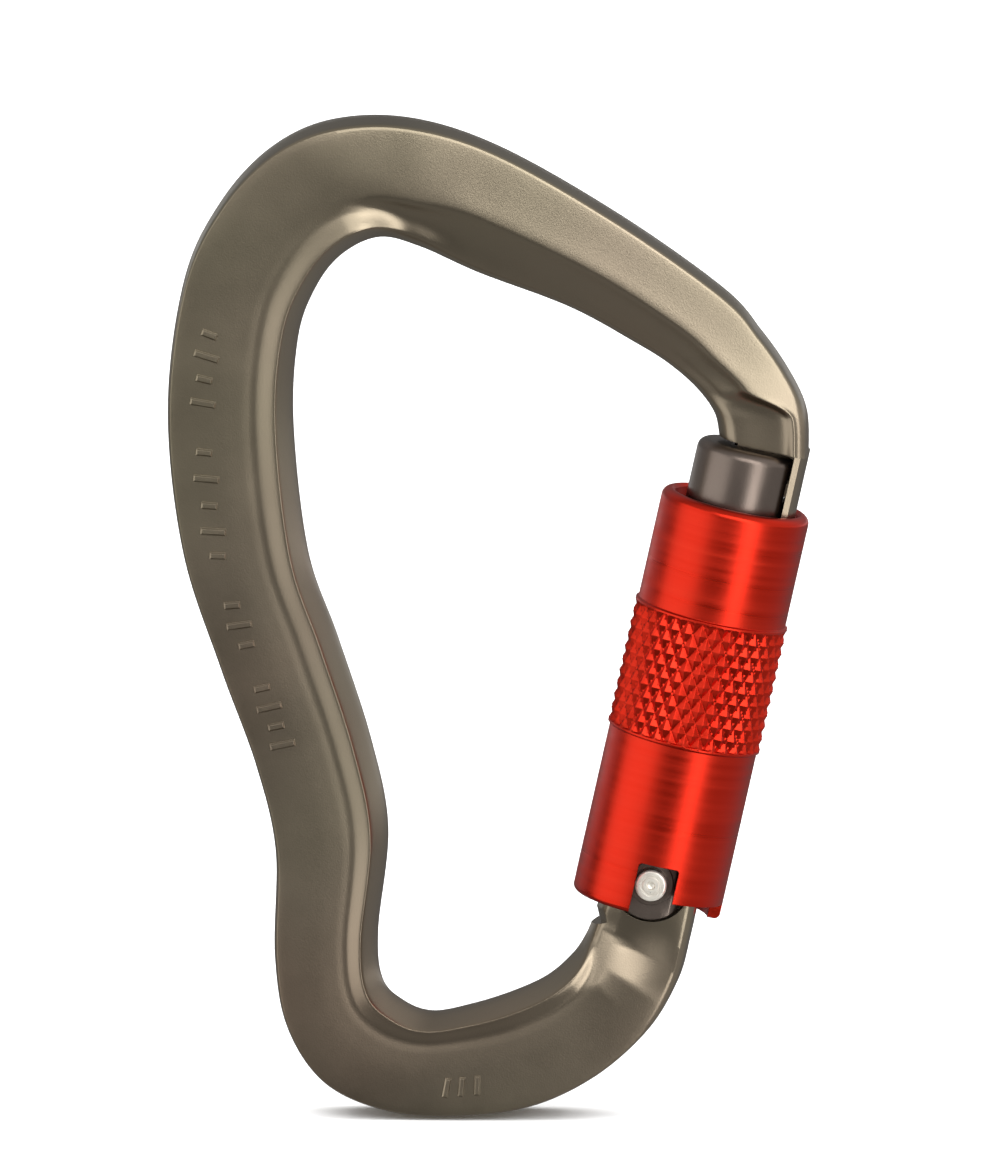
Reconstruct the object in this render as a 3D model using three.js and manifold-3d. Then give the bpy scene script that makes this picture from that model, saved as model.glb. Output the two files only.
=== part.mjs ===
// Locking carabiner with a lift-and-turn sleeve.
// Millimetres. +Z is up the load axis, +X is towards the gate and -Y is the front.
import * as THREE from 'three';
import * as BufferGeometryUtils from 'three/addons/utils/BufferGeometryUtils.js';
import { LoftGeometry } from 'three/addons/geometries/LoftGeometry.js';
import Module from 'manifold-3d';

const wasm = await Module();
wasm.setup();

// Hinge and gate axis. The gate's own frame has its origin on the hinge pin,
// X towards the outside, Y towards the back and Z along the gate to its cap.
const HINGE_X = 19.1;
const HINGE_Z = 28.4;
const GATE_TILT = THREE.MathUtils.degToRad(12.5);
const GATE_OPEN = THREE.MathUtils.degToRad(26);
const GATE_PLACE = new THREE.Matrix4().makeRotationY(GATE_TILT).setPosition(HINGE_X, 0, HINGE_Z);

// Stations along the body from the nose, over the top and down the spine to the hinge.
// Each pairs a point on the outer edge with the point on the inner edge across from it.
const STATIONS = [
  { outer: [37.5, 78.7], inner: [26.9, 81.1] },
  { outer: [37.3, 84], inner: [26.3, 83.8] },
  { outer: [35.3, 88.4], inner: [24.2, 86.7] },
  { outer: [32.1, 93], inner: [21, 89.5] },
  { outer: [27.6, 98.1], inner: [17.2, 91.9] },
  { outer: [15.4, 106.8], inner: [9.3, 96.2] },
  { outer: [1.2, 114.9], inner: [-1.3, 100.2] },
  { outer: [-9.5, 118.3], inner: [-8.2, 103.3] },
  { outer: [-18.8, 118], inner: [-13, 104.4] },
  { outer: [-26, 114.6], inner: [-17.5, 102.2] },
  { outer: [-31.9, 108.1], inner: [-20.6, 98] },
  { outer: [-36, 99.1], inner: [-22.5, 92.2] },
  { outer: [-37.9, 84], inner: [-23, 82] },
  { outer: [-36.2, 67.5], inner: [-21.3, 67] },
  { outer: [-31.8, 53.6], inner: [-17.8, 56.8] },
  { outer: [-27.6, 41.9], inner: [-13.9, 44.6] },
  { outer: [-25.3, 31.6], inner: [-11.9, 34] },
  { outer: [-25.4, 18.9], inner: [-13.1, 21.9] },
  { outer: [-23.9, 10.4], inner: [-12.6, 16] },
  { outer: [-19.5, 3.9], inner: [-10.1, 13.3] },
  { outer: [-12.2, 0.6], inner: [-6.7, 12.1] },
  { outer: [-4, 0], inner: [-2.4, 12.9] },
  { outer: [5, 1.2], inner: [2.3, 14.4] },
  { outer: [12.7, 4.9], inner: [6.6, 16.4] },
  { outer: [18.9, 10.5], inner: [9.6, 19] },
  { outer: [22.3, 16.2], inner: [11.2, 21.3] },
  { outer: [23.7, 21.2], inner: [12.2, 23.7] },
  { outer: [24.8, 26.4], inner: [13.8, 28.9] },
];
// Half of the body's section as [distance from the edge, half thickness]. A flat band
// runs from the outer rounding to the crease, and a lower bead from there to the inner edge.
const BAND_HALF = 5.1;
const BEAD_HALF = 4.3;
const OUTER_SECTION = [[0, 0], [0.15, 1.6], [0.6, 3.1], [1.5, 4.4], [2.8, BAND_HALF]];
const INNER_SECTION = [[2.4, 3.8], [1.2, 3], [0.35, 1.7], [0, 0]];
const CREASE_SHARE = 0.63;
const CREASE_HALF_WIDTH = 0.6;
const STEPS_BETWEEN = 3;

// Hinge: a tang on the body between the two ears of the gate's fork.
const SHOULDER_TOP = -2.4;
const TANG_R = 4.2;
const TANG_TOP = 2.6;
const TANG_HALF = 1.9;
const TANG_ROOT = -6.4;
const FORK_HALF = 2.2;
const FORK_TOP = 4.9;
const EAR_R = 4.4;
const EAR_HALF = 4.9;
const EAR_GAP = 0.35;
const BOSS_R = 2.6;
const BOSS_HALF = 5.2;
const PIN_R = 1.5;
const PIN_HOLE_R = 1.58;
const PIN_HEAD_R = 1.88;
const PIN_HALF = 6.95;
const PIN_CHAMFER = 0.3;
const PIN_HEAD_GAP = 0.05;
const PIN_HEAD_BITE = 0.5;
const PIN_DIMPLE_R = 0.45;
const PIN_DIMPLE_DEPTH = 0.35;

// Gate barrel and cap.
const BARREL_R = 5.6;
const CAP_R = 6;
const CAP_FOOT = 38;
const CAP_TOP = 52.6;
const CAP_ROUND = 1.2;
const CAP_FLAT = 5.7;
const CAP_FLAT_FOOT = 42.6;
const GROOVE_R = 5.1;
const GROOVE_MID = 6.55;
const GROOVE_HALF = 0.5;
const BARREL_SHOULDER = 4;

// Nose of the body: a lip outside the cap and a T-shaped tongue in the cap's slot.
const LIP_TOP = 53.7;
const LIP_GAP = 0.3;
const LIP_FLAT = 6.05;
const LIP_R = 7.1;
const LIP_HALF = 3.4;
const TONGUE_FOOT = 48;
const TONGUE_INNER = -1.4;
const TONGUE_HALF = 1.5;
const TOE_HALF = 2.7;
const TOE_TOP = 49.6;
const KEY_GAP = 0.35;
const KEY_DROP = 0.7;
const KEY_BITE = 0.4;
const KEY_TOP = 55.1;

// Plunger and spring in the gate's bore.
const BORE_X = -1.6;
const BORE_R = 1.7;
const BORE_TOP = 16.5;
const PLUNGER_R = 1.6;
const PLUNGER_TIP = 2.65;
const PLUNGER_TIP_STEPS = 4;
const PLUNGER_SEAT = 9;
const PLUNGER_NOSE_R = 0.75;
const PLUNGER_NOSE_TOP = 10.6;
const GATE_SPRING_R = 1.2;
const GATE_SPRING_WIRE = 0.22;
const GATE_SPRING_TURNS = 8;
const GATE_SPRING_STEPS = 14;
const SPRING_GAP = 0.1;

// Sleeve and what is inside it.
const SLEEVE_FOOT = -3.45;
const SLEEVE_TOP = 45.9;
const SLEEVE_R = 8.84;
const SLEEVE_BORE = 7.4;
const SLEEVE_ROUND = 1;
const SLEEVE_CHAMFER = 0.35;
const KNURL_FOOT = 17.4;
const KNURL_TOP = 32.1;
const KNURL_R = 9.12;
const NOTCH_INNER = -1.95;
const NOTCH_OUTER = 2.88;
const NOTCH_TOP = 2.72;
const NOTCH_ROUND = 0.4;
const STEP_FROM = 19;
const STEP_TO = 92;
const STEP_LEVEL = -1.35;
const SLOT_AT = 168;
const SLOT_HALF_ANGLE = 37;
const SLOT_DEPTH = 6.6;
const SWING_GAP = 0.25;
const SWING_STEPS = 8;
const BUSH_FOOT = 7.1;
const BUSH_TOP = 12.1;
const BUSH_INNER = 5.75;
const BUSH_OUTER = 7.37;
const RING_WIRE = 0.42;
const RING_R = 5.6;
const RING_OPENING = THREE.MathUtils.degToRad(40);
const RING_STEPS = 40;
const WASHER_INNER = 5.7;
const WASHER_OUTER = 6.95;
const WASHER_THICK = 0.7;
const WASHER_GAP = 0.06;
const SLEEVE_SPRING_R = 6.35;
const SLEEVE_SPRING_WIRE = 0.42;
const SLEEVE_SPRING_TURNS = 9;
const SLEEVE_SPRING_STEPS = 24;

// Facets round a full turn, and on small arcs and thin wire.
const ROUND = 64;
const CORNER_POINTS = 4;
const FORK_ARC_POINTS = 12;
const WEDGE_STEP = 6;
const THIN_WIRE_SIDES = 6;
const WIRE_SIDES = 8;
// Where a rounded edge's 45 degree point lies, as a share of its radius in from the corner.
const CORNER_IN = 1 - Math.SQRT1_2;
// Cutters reach this far past what they cut, or this little past a face they start from.
const OVER = 20;
const PAST = 1;
// Points closer together than this are one point.
const WELD = 1e-4;

function solidOf(geometry) {
  const bare = new THREE.BufferGeometry().copy(geometry);
  bare.deleteAttribute('normal');
  bare.deleteAttribute('uv');
  const welded = BufferGeometryUtils.mergeVertices(bare, WELD);
  const triVerts = [];
  for (let i = 0; i < welded.index.count; i += 3) {
    const [a, b, c] = [0, 1, 2].map((k) => welded.index.getX(i + k));
    if (a !== b && b !== c && c !== a) {
      triVerts.push(a, b, c);
    }
  }
  const mesh = new wasm.Mesh({
    numProp: 3,
    vertProperties: new Float32Array(welded.attributes.position.array),
    triVerts: new Uint32Array(triVerts),
  });
  return new wasm.Manifold(mesh);
}

// The geometry as a solid, turned the right way out if its triangles face inwards.
function facingOut(geometry) {
  const solid = solidOf(geometry);
  if (solid.volume() > 0) {
    return solid;
  }
  const turnedOver = new THREE.BufferGeometry().copy(geometry);
  const index = turnedOver.index.array;
  for (let i = 0; i < index.length; i += 3) {
    [index[i], index[i + 1]] = [index[i + 1], index[i]];
  }
  return solidOf(turnedOver);
}

function geometryOf(solid) {
  const { vertProperties, triVerts } = solid.getMesh();
  const geometry = new THREE.BufferGeometry();
  geometry.setAttribute('position', new THREE.BufferAttribute(new Float32Array(vertProperties), 3));
  geometry.setIndex(new THREE.BufferAttribute(new Uint32Array(triVerts), 1));
  return geometry;
}

function union(solids) {
  return solids.reduce((all, next) => all.add(next));
}

// A plate of an outline in the XZ plane, centred on Y = 0.
function plate(outline, half) {
  const shape = new THREE.Shape(outline);
  const geometry = new THREE.ExtrudeGeometry(shape, { depth: 2 * half, bevelEnabled: false });
  geometry.translate(0, 0, -half);
  geometry.rotateX(Math.PI / 2);
  return solidOf(geometry);
}

// A block between two corners, in whichever frame it is used.
function block(from, to) {
  const size = to.map((value, axis) => value - from[axis]);
  const geometry = new THREE.BoxGeometry(...size);
  geometry.translate(...from.map((value, axis) => value + size[axis] / 2));
  return solidOf(geometry);
}

// A body turned round the gate's axis, from [radius, height] pairs.
function turned(profile, segments = ROUND) {
  const points = profile.map(([r, z]) => new THREE.Vector2(r, z));
  const geometry = new THREE.LatheGeometry(points, segments);
  geometry.rotateX(Math.PI / 2);
  return facingOut(geometry);
}

function rod(radius, foot, top, segments = ROUND) {
  return turned([[0, foot], [radius, foot], [radius, top], [0, top]], segments);
}

function ring(inner, outer, foot, top) {
  return turned([[inner, foot], [outer, foot], [outer, top], [inner, top], [inner, foot]]);
}

// A rod along Y through the hinge, in the gate's frame.
function crossRod(radius, half, segments = ROUND * 3 / 4) {
  const geometry = new THREE.CylinderGeometry(radius, radius, 2 * half, segments);
  return solidOf(geometry);
}

// A wedge round the gate's axis. Angle 0 faces the front and 90 faces outwards.
function wedge(fromDeg, toDeg, foot, top) {
  const shape = new THREE.Shape([new THREE.Vector2(0, 0)]);
  const steps = Math.ceil((toDeg - fromDeg) / WEDGE_STEP);
  for (let i = 0; i <= steps; i += 1) {
    const angle = THREE.MathUtils.degToRad(fromDeg + ((toDeg - fromDeg) * i) / steps);
    shape.lineTo(OVER * Math.sin(angle), -OVER * Math.cos(angle));
  }
  const geometry = new THREE.ExtrudeGeometry(shape, { depth: top - foot, bevelEnabled: false });
  geometry.translate(0, 0, foot);
  return solidOf(geometry);
}

// An upright outline with its two upper corners rounded.
function roundedProfile(left, right, foot, top, corner) {
  const shape = new THREE.Shape();
  shape.moveTo(left, foot);
  shape.lineTo(right, foot);
  shape.lineTo(right, top - corner);
  shape.absarc(right - corner, top - corner, corner, 0, Math.PI / 2, false);
  shape.lineTo(left + corner, top);
  shape.absarc(left + corner, top - corner, corner, Math.PI / 2, Math.PI, false);
  shape.closePath();
  return shape.extractPoints(CORNER_POINTS).shape;
}

class Helix extends THREE.Curve {
  constructor(radius, foot, top, turns) {
    super();
    Object.assign(this, { radius, foot, top, turns });
  }

  getPoint(t, target = new THREE.Vector3()) {
    const angle = 2 * Math.PI * this.turns * t;
    const height = THREE.MathUtils.lerp(this.foot, this.top, t);
    return target.set(this.radius * Math.cos(angle), this.radius * Math.sin(angle), height);
  }
}

class FlatArc extends THREE.Curve {
  constructor(radius, height, from, to) {
    super();
    Object.assign(this, { radius, height, from, to });
  }

  getPoint(t, target = new THREE.Vector3()) {
    const angle = THREE.MathUtils.lerp(this.from, this.to, t);
    return target.set(this.radius * Math.cos(angle), this.radius * Math.sin(angle), this.height);
  }
}

// A round wire along a path. A circle drawn with n curve segments has 2n sides.
function wire(path, radius, steps, sides) {
  const section = new THREE.Shape();
  section.absarc(0, 0, radius, 0, 2 * Math.PI, false);
  return new THREE.ExtrudeGeometry(section, { steps, extrudePath: path, curveSegments: sides / 2 });
}

function inGateFrame(solid) {
  return solid.transform(GATE_PLACE.elements);
}

// Corners of the section at one station, in order round it from the outer edge.
function sectionCorners(width) {
  const crease = width * CREASE_SHARE;
  const half = [
    ...OUTER_SECTION,
    [crease - CREASE_HALF_WIDTH, BAND_HALF],
    [crease + CREASE_HALF_WIDTH, BEAD_HALF],
    ...INNER_SECTION.map(([fromInner, y]) => [width - fromInner, y]),
  ];
  const back = half.slice(1, -1).reverse().map(([across, y]) => [across, -y]);
  return [...half, ...back];
}

function edgeCurve(side) {
  return new THREE.SplineCurve(STATIONS.map((station) => new THREE.Vector2(...station[side])));
}

// The forged body, lofted through a section at each station and at steps between them.
function bodySolid() {
  const outerCurve = edgeCurve('outer');
  const innerCurve = edgeCurve('inner');
  const steps = (STATIONS.length - 1) * STEPS_BETWEEN;
  const sections = Array.from({ length: steps + 1 }, (_, i) => {
    const outer = outerCurve.getPoint(i / steps);
    const across = innerCurve.getPoint(i / steps).sub(outer);
    const width = across.length();
    return sectionCorners(width).map(([distance, y]) => {
      const at = outer.clone().addScaledVector(across, distance / width);
      return new THREE.Vector3(at.x, y, at.y);
    });
  });
  return facingOut(new LoftGeometry(sections, { capStart: true, capEnd: true }));
}

// Room for the fork's ears, and for the gate's foot on the inner side.
function forkRoom() {
  const ears = crossRod(EAR_R + EAR_GAP, OVER);
  const innerShoulder = block([-OVER, -OVER, SHOULDER_TOP], [0, OVER, OVER / 2]);
  const outerShoulder = block([0, -OVER, 0], [OVER, OVER, OVER / 2]);
  return union([ears, innerShoulder, outerShoulder]);
}

// The tang that stands in the gate's fork, cut flat on top for the plunger.
function tangSolid() {
  const lobe = crossRod(TANG_R, TANG_HALF)
    .intersect(block([-OVER, -OVER, -OVER], [OVER, OVER, TANG_TOP]));
  const root = block([-TANG_R, -TANG_HALF, TANG_ROOT], [TANG_R, TANG_HALF, 0]);
  return lobe.add(root);
}

// The room that the closed sleeve sweeps as the gate swings open.
function sleeveSwing() {
  const foot = SLEEVE_FOOT - SWING_GAP;
  const tube = ring(SLEEVE_BORE - SWING_GAP, OVER, foot, foot + OVER);
  const steps = Array.from({ length: SWING_STEPS + 1 }, (_, i) => (GATE_OPEN * i) / SWING_STEPS);
  return union(steps.map((angle) => tube.rotate([0, -THREE.MathUtils.radToDeg(angle), 0])));
}

// The nose's lip outside the cap, and the T-shaped tongue that the cap's slot takes.
// The lip ends just above the lowered sleeve, so that the gate's swing is clear of it.
function noseKey() {
  const joined = LIP_FLAT + KEY_BITE;
  const foot = SLEEVE_TOP + LIP_GAP;
  const lip = rod(LIP_R, foot, LIP_TOP)
    .intersect(block([LIP_FLAT, -LIP_HALF, foot], [OVER, LIP_HALF, LIP_TOP]));
  const stem = block([TONGUE_INNER, -TONGUE_HALF, TONGUE_FOOT], [joined, TONGUE_HALF, KEY_TOP]);
  const toe = block([TONGUE_INNER, -TOE_HALF, TONGUE_FOOT], [joined, TOE_HALF, TOE_TOP]);
  return union([lip, stem, toe]);
}

function frameSolid() {
  return bodySolid()
    .subtract(inGateFrame(forkRoom()))
    .add(inGateFrame(tangSolid()))
    .subtract(inGateFrame(sleeveSwing()))
    .add(inGateFrame(noseKey()))
    .subtract(inGateFrame(crossRod(PIN_HOLE_R, OVER)));
}

// The gate's barrel and cap as turned, before the fork and slots are cut.
function gateEnvelope() {
  return turned([
    [0, -EAR_R - PAST],
    [BARREL_R, -EAR_R - PAST],
    [BARREL_R, GROOVE_MID - GROOVE_HALF],
    [GROOVE_R, GROOVE_MID - GROOVE_HALF],
    [GROOVE_R, GROOVE_MID + GROOVE_HALF],
    [BARREL_R, GROOVE_MID + GROOVE_HALF],
    [BARREL_R, CAP_FOOT],
    [CAP_R, CAP_FOOT],
    [CAP_R, CAP_TOP - CAP_ROUND],
    [CAP_R - CAP_ROUND * CORNER_IN, CAP_TOP - CAP_ROUND * CORNER_IN],
    [CAP_R - CAP_ROUND, CAP_TOP],
    [0, CAP_TOP],
  ]);
}

// The fork's outline seen along the pin: round at the foot and widening to the barrel.
function forkOutline() {
  const shape = new THREE.Shape();
  shape.moveTo(CAP_R + PAST, CAP_TOP + PAST);
  shape.lineTo(-CAP_R - PAST, CAP_TOP + PAST);
  shape.lineTo(-CAP_R - PAST, BARREL_SHOULDER);
  shape.lineTo(-EAR_R, 0);
  shape.absarc(0, 0, EAR_R, Math.PI, 2 * Math.PI, false);
  shape.lineTo(CAP_R + PAST, BARREL_SHOULDER);
  shape.closePath();
  return shape.extractPoints(FORK_ARC_POINTS).shape;
}

// The slot in the cap that clears the tongue.
function keySlot() {
  const inner = TONGUE_INNER - KEY_GAP;
  const foot = TONGUE_FOOT - KEY_DROP;
  const stemHalf = TONGUE_HALF + KEY_GAP;
  const toeHalf = TOE_HALF + KEY_GAP;
  const stem = block([inner, -stemHalf, foot], [OVER, stemHalf, CAP_TOP + PAST]);
  const toe = block([inner, -toeHalf, foot], [OVER, toeHalf, TOE_TOP + KEY_GAP]);
  return stem.add(toe);
}

function gateSolid() {
  const bosses = crossRod(BOSS_R, BOSS_HALF);
  const flats = union([-1, 1].map((side) => block(
    [-OVER, side > 0 ? EAR_HALF : -OVER, -OVER],
    [OVER, side > 0 ? OVER : -EAR_HALF, BARREL_SHOULDER + PAST],
  )));
  const fork = block([-OVER, -FORK_HALF, -OVER], [OVER, FORK_HALF, FORK_TOP]);
  const lipFlat = block([CAP_FLAT, -OVER, CAP_FLAT_FOOT], [OVER, OVER, CAP_TOP + PAST]);
  const bore = rod(BORE_R, TANG_TOP, BORE_TOP, ROUND / 2).translate([BORE_X, 0, 0]);
  return gateEnvelope()
    .intersect(plate(forkOutline(), OVER))
    .subtract(flats)
    .add(bosses)
    .subtract(fork)
    .subtract(crossRod(PIN_HOLE_R, OVER))
    .subtract(lipFlat)
    .subtract(keySlot())
    .subtract(bore);
}

function rivetSolid() {
  const headLength = PIN_HALF - BOSS_HALF - PIN_HEAD_GAP;
  const coreHalf = BOSS_HALF + PIN_HEAD_BITE;
  const core = crossRod(PIN_R, coreHalf);
  const head = turned([
    [0, 0],
    [PIN_HEAD_R, 0],
    [PIN_HEAD_R, headLength - PIN_CHAMFER],
    [PIN_HEAD_R - PIN_CHAMFER, headLength],
    [PIN_DIMPLE_R, headLength],
    [0, headLength - PIN_DIMPLE_DEPTH],
  ], ROUND / 2);
  const near = head.rotate([90, 0, 0]).translate([0, headLength - PIN_HALF, 0]);
  const far = head.rotate([-90, 0, 0]).translate([0, PIN_HALF - headLength, 0]);
  return union([core, near, far]);
}

function sleeveSolid() {
  const tube = turned([
    [SLEEVE_BORE, SLEEVE_FOOT],
    [SLEEVE_R - SLEEVE_CHAMFER, SLEEVE_FOOT],
    [SLEEVE_R, SLEEVE_FOOT + SLEEVE_CHAMFER],
    [SLEEVE_R, KNURL_FOOT - SLEEVE_CHAMFER],
    [KNURL_R, KNURL_FOOT],
    [KNURL_R, KNURL_TOP],
    [SLEEVE_R, KNURL_TOP + SLEEVE_CHAMFER],
    [SLEEVE_R, SLEEVE_TOP - SLEEVE_ROUND],
    [SLEEVE_R - SLEEVE_ROUND * CORNER_IN, SLEEVE_TOP - SLEEVE_ROUND * CORNER_IN],
    [SLEEVE_R - SLEEVE_ROUND, SLEEVE_TOP],
    [SLEEVE_BORE + SLEEVE_CHAMFER, SLEEVE_TOP],
    [SLEEVE_BORE, SLEEVE_TOP - SLEEVE_CHAMFER],
    [SLEEVE_BORE, SLEEVE_FOOT],
  ]);
  const below = SLEEVE_FOOT - PAST;
  const notchOutline = roundedProfile(NOTCH_INNER, NOTCH_OUTER, below, NOTCH_TOP, NOTCH_ROUND);
  const notch = plate(notchOutline, OVER / 2).translate([0, -OVER / 2, 0]);
  const step = wedge(STEP_FROM, STEP_TO, below, STEP_LEVEL);
  const cuts = [notch, step];
  const opposite = cuts.map((cut) => cut.rotate([0, 0, 180]));
  const slotFoot = SLEEVE_TOP - SLOT_DEPTH;
  const slot = wedge(SLOT_AT - SLOT_HALF_ANGLE, SLOT_AT + SLOT_HALF_ANGLE, slotFoot, SLEEVE_TOP + PAST);
  return tube.subtract(union([...cuts, ...opposite, slot]));
}

function plungerSolid() {
  const tip = Array.from({ length: PLUNGER_TIP_STEPS + 1 }, (_, i) => {
    const angle = (Math.PI / 2) * (i / PLUNGER_TIP_STEPS);
    return [PLUNGER_R * Math.sin(angle), PLUNGER_TIP + PLUNGER_R * (1 - Math.cos(angle))];
  });
  return turned([
    ...tip,
    [PLUNGER_R, PLUNGER_SEAT],
    [PLUNGER_NOSE_R, PLUNGER_SEAT],
    [PLUNGER_NOSE_R, PLUNGER_NOSE_TOP],
    [0, PLUNGER_NOSE_TOP],
  ], ROUND / 2).translate([BORE_X, 0, 0]);
}

function gateSpringGeometry() {
  const foot = PLUNGER_SEAT + SPRING_GAP + GATE_SPRING_WIRE;
  const top = BORE_TOP - SPRING_GAP - GATE_SPRING_WIRE;
  const path = new Helix(GATE_SPRING_R, foot, top, GATE_SPRING_TURNS);
  const steps = GATE_SPRING_TURNS * GATE_SPRING_STEPS;
  return wire(path, GATE_SPRING_WIRE, steps, THIN_WIRE_SIDES).translate(BORE_X, 0, 0);
}

function sleeveSpringGeometry() {
  const washerFoot = CAP_FOOT - 2 * WASHER_GAP - WASHER_THICK;
  const foot = BUSH_TOP + SPRING_GAP + SLEEVE_SPRING_WIRE;
  const top = washerFoot - SPRING_GAP - SLEEVE_SPRING_WIRE;
  const path = new Helix(SLEEVE_SPRING_R, foot, top, SLEEVE_SPRING_TURNS);
  return wire(path, SLEEVE_SPRING_WIRE, SLEEVE_SPRING_TURNS * SLEEVE_SPRING_STEPS, WIRE_SIDES);
}

function retainingRingGeometry() {
  const half = RING_OPENING / 2;
  const path = new FlatArc(RING_R, GROOVE_MID, half, 2 * Math.PI - half);
  return wire(path, RING_WIRE, RING_STEPS, WIRE_SIDES);
}

function bushSolid() {
  return ring(BUSH_INNER, BUSH_OUTER, BUSH_FOOT, BUSH_TOP);
}

function washerSolid() {
  const top = CAP_FOOT - WASHER_GAP;
  return ring(WASHER_INNER, WASHER_OUTER, top - WASHER_THICK, top);
}

function anodised(color, roughness) {
  return new THREE.MeshStandardMaterial({ color, metalness: 0.8, roughness });
}

function steel(color) {
  return new THREE.MeshStandardMaterial({ color, metalness: 1, roughness: 0.3 });
}

function acetal() {
  return new THREE.MeshStandardMaterial({ color: 0x202022, metalness: 0, roughness: 0.6 });
}

function piece(name, geometry, material) {
  const bare = new THREE.BufferGeometry().copy(geometry);
  bare.deleteAttribute('uv');
  bare.computeVertexNormals();
  const mesh = new THREE.Mesh(bare, material);
  mesh.name = name;
  return mesh;
}

const carabiner = new THREE.Group();
carabiner.name = 'locking_carabiner';
carabiner.add(piece('frame', geometryOf(frameSolid()), anodised(0x625848, 0.42)));

const gateGroup = new THREE.Group();
gateGroup.name = 'gate_group';
gateGroup.applyMatrix4(GATE_PLACE);
gateGroup.add(
  piece('gate', geometryOf(gateSolid()), anodised(0x5a5145, 0.38)),
  piece('hinge_rivet', geometryOf(rivetSolid()), steel(0xcdc8b9)),
  piece('gate_plunger', geometryOf(plungerSolid()), steel(0xb9b6ad)),
  piece('gate_spring', gateSpringGeometry(), steel(0xa9a9a6)),
  piece('sleeve_spring', sleeveSpringGeometry(), steel(0xa3a3a0)),
  piece('retaining_ring', retainingRingGeometry(), steel(0x8e8e8a)),
  piece('thrust_washer', geometryOf(washerSolid()), steel(0xb0aea6)),
  piece('sleeve_bush', geometryOf(bushSolid()), acetal()),
  piece('locking_sleeve', geometryOf(sleeveSolid()), anodised(0xe02a1a, 0.35)),
);
carabiner.add(gateGroup);

export default carabiner;
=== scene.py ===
"""Locking carabiner: fine surfaces, materials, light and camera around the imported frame.

Lengths are in millimetres until a mesh is made. The gate's own frame has its origin on the hinge pin,
X towards the outside, Y towards the back and Z along the gate to its cap.
"""

import math

import bmesh
import bpy
import numpy as np
from mathutils import Matrix, Vector


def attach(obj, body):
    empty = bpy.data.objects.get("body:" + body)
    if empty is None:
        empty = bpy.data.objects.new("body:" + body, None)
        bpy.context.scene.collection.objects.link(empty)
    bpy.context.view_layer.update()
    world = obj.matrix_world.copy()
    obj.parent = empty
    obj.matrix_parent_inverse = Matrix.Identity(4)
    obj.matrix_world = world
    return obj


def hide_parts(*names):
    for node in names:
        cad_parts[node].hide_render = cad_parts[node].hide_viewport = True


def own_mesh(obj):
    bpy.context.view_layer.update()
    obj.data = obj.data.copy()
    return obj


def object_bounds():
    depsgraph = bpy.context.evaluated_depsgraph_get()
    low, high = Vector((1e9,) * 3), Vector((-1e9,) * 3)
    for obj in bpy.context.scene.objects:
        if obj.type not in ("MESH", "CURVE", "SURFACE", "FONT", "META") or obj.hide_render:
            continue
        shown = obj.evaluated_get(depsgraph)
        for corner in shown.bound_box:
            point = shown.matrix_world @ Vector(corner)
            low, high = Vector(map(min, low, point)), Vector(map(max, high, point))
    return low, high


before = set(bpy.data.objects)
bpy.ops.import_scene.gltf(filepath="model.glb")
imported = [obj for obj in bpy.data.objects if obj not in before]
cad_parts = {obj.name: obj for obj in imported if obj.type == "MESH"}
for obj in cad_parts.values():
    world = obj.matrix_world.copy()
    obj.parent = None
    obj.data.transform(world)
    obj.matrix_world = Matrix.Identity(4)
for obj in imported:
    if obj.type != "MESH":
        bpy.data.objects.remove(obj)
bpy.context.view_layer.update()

MM = 0.001
FULL_TURN = 2 * math.pi
SMOOTH_BELOW = math.radians(32)

# Hinge and gate axis, as in the CAD.
HINGE = Vector((19.1, 0, 28.4))
GATE_TILT = math.radians(12.5)
GATE_PLACE = Matrix.Translation(HINGE) @ Matrix.Rotation(GATE_TILT, 4, "Y")

# Stations along the body from the nose, over the top and down the spine to the hinge:
# a point on the outer edge and the point on the inner edge across from it, as in the CAD.
STATIONS = [
    ((37.5, 78.7), (26.9, 81.1)),
    ((37.3, 84), (26.3, 83.8)),
    ((35.3, 88.4), (24.2, 86.7)),
    ((32.1, 93), (21, 89.5)),
    ((27.6, 98.1), (17.2, 91.9)),
    ((15.4, 106.8), (9.3, 96.2)),
    ((1.2, 114.9), (-1.3, 100.2)),
    ((-9.5, 118.3), (-8.2, 103.3)),
    ((-18.8, 118), (-13, 104.4)),
    ((-26, 114.6), (-17.5, 102.2)),
    ((-31.9, 108.1), (-20.6, 98)),
    ((-36, 99.1), (-22.5, 92.2)),
    ((-37.9, 84), (-23, 82)),
    ((-36.2, 67.5), (-21.3, 67)),
    ((-31.8, 53.6), (-17.8, 56.8)),
    ((-27.6, 41.9), (-13.9, 44.6)),
    ((-25.3, 31.6), (-11.9, 34)),
    ((-25.4, 18.9), (-13.1, 21.9)),
    ((-23.9, 10.4), (-12.6, 16)),
    ((-19.5, 3.9), (-10.1, 13.3)),
    ((-12.2, 0.6), (-6.7, 12.1)),
    ((-4, 0), (-2.4, 12.9)),
    ((5, 1.2), (2.3, 14.4)),
    ((12.7, 4.9), (6.6, 16.4)),
    ((18.9, 10.5), (9.6, 19)),
    ((22.3, 16.2), (11.2, 21.3)),
    ((23.7, 21.2), (12.2, 23.7)),
    ((24.8, 26.4), (13.8, 28.9)),
]
STEPS_BETWEEN = 14

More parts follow.
